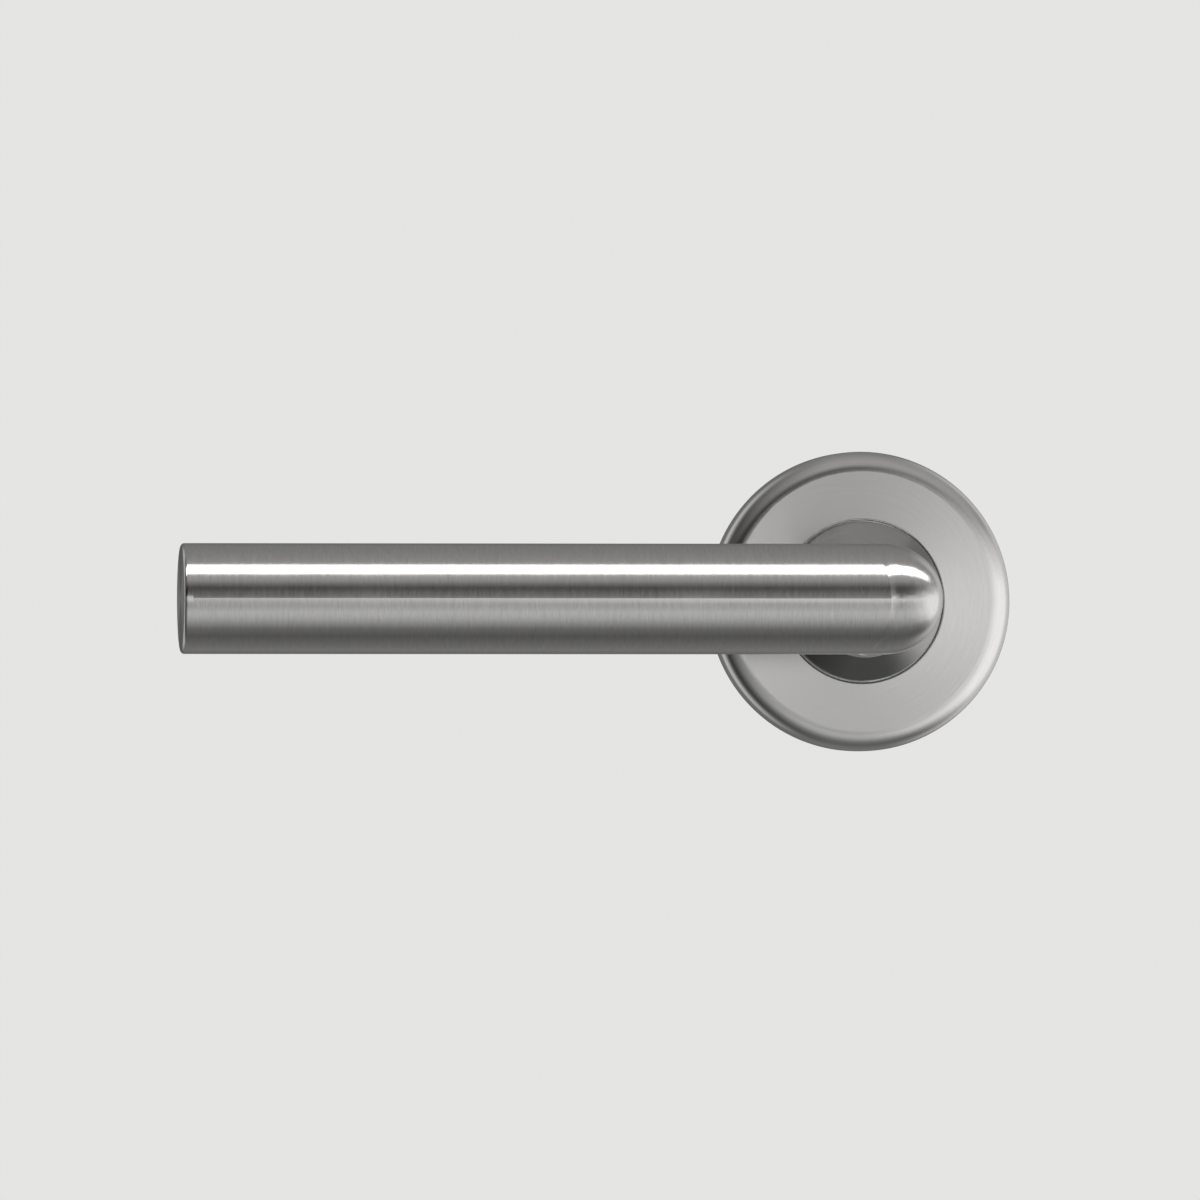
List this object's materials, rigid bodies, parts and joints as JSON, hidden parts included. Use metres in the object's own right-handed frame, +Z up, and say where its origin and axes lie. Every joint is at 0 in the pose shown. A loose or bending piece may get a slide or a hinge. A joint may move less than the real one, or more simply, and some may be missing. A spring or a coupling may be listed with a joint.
{
  "type": "door lever handle",
  "caption": "Straight mitred lever of round stainless tube on a round, spring-loaded rose, with its spindle and through-door bolts, for one side of a door.",
  "frame": {"origin": "on the door face, on the spindle's axis", "axes": "+Z up, +Y into the door along the spindle, -Y out into the room, the lever points along -X"},
  "size_m": [0.1475, 0.132, 0.052],
  "materials": {
    "satin_stainless": "satin, brushed",
    "zinc_casting": "as cast, tumbled",
    "nylon": "moulded",
    "spring_steel": "oil tempered",
    "zinc_plated_steel": "bright zinc plated",
    "sintered_steel": "sintered, matt",
    "black_steel": "phosphated black",
    "rubber": "matt black"
  },
  "bodies": {
    "rose": {"base_plate": "zinc_casting", "rear_bush": "nylon", "front_bush": "nylon", "return_spring": "spring_steel", "spring_cover_plate": "zinc_plated_steel", "cover_plate_screws": "zinc_plated_steel", "cover_o_ring": "rubber", "through_bolts": "zinc_plated_steel", "wood_screws": "zinc_plated_steel"},
    "rose_cover": {"rose_cover": "satin_stainless"},
    "lever": {"grip_tube": "satin_stainless", "neck_tube": "satin_stainless", "end_cap": "satin_stainless", "neck_hub": "satin_stainless", "grub_screw": "black_steel", "spring_driver": "sintered_steel", "thrust_washer": "zinc_plated_steel", "spring_washer": "spring_steel", "circlip": "black_steel", "spindle": "zinc_plated_steel"}
  },
  "joints": [
    {"name": "lever_turn", "type": "hinge", "parent": "rose", "child": "lever", "pos_m": [0, 0, 0], "axis": [0, -1, 0], "range_deg": [0, 45], "stiffness_Nm_per_rad": 0.5, "springref_deg": -34.38, "deforming": ["return_spring"]},
    {"name": "cover_slide", "type": "slide", "parent": "rose", "child": "rose_cover", "axis": [0, -1, 0], "range_m": [0, 0.028]}
  ]
}
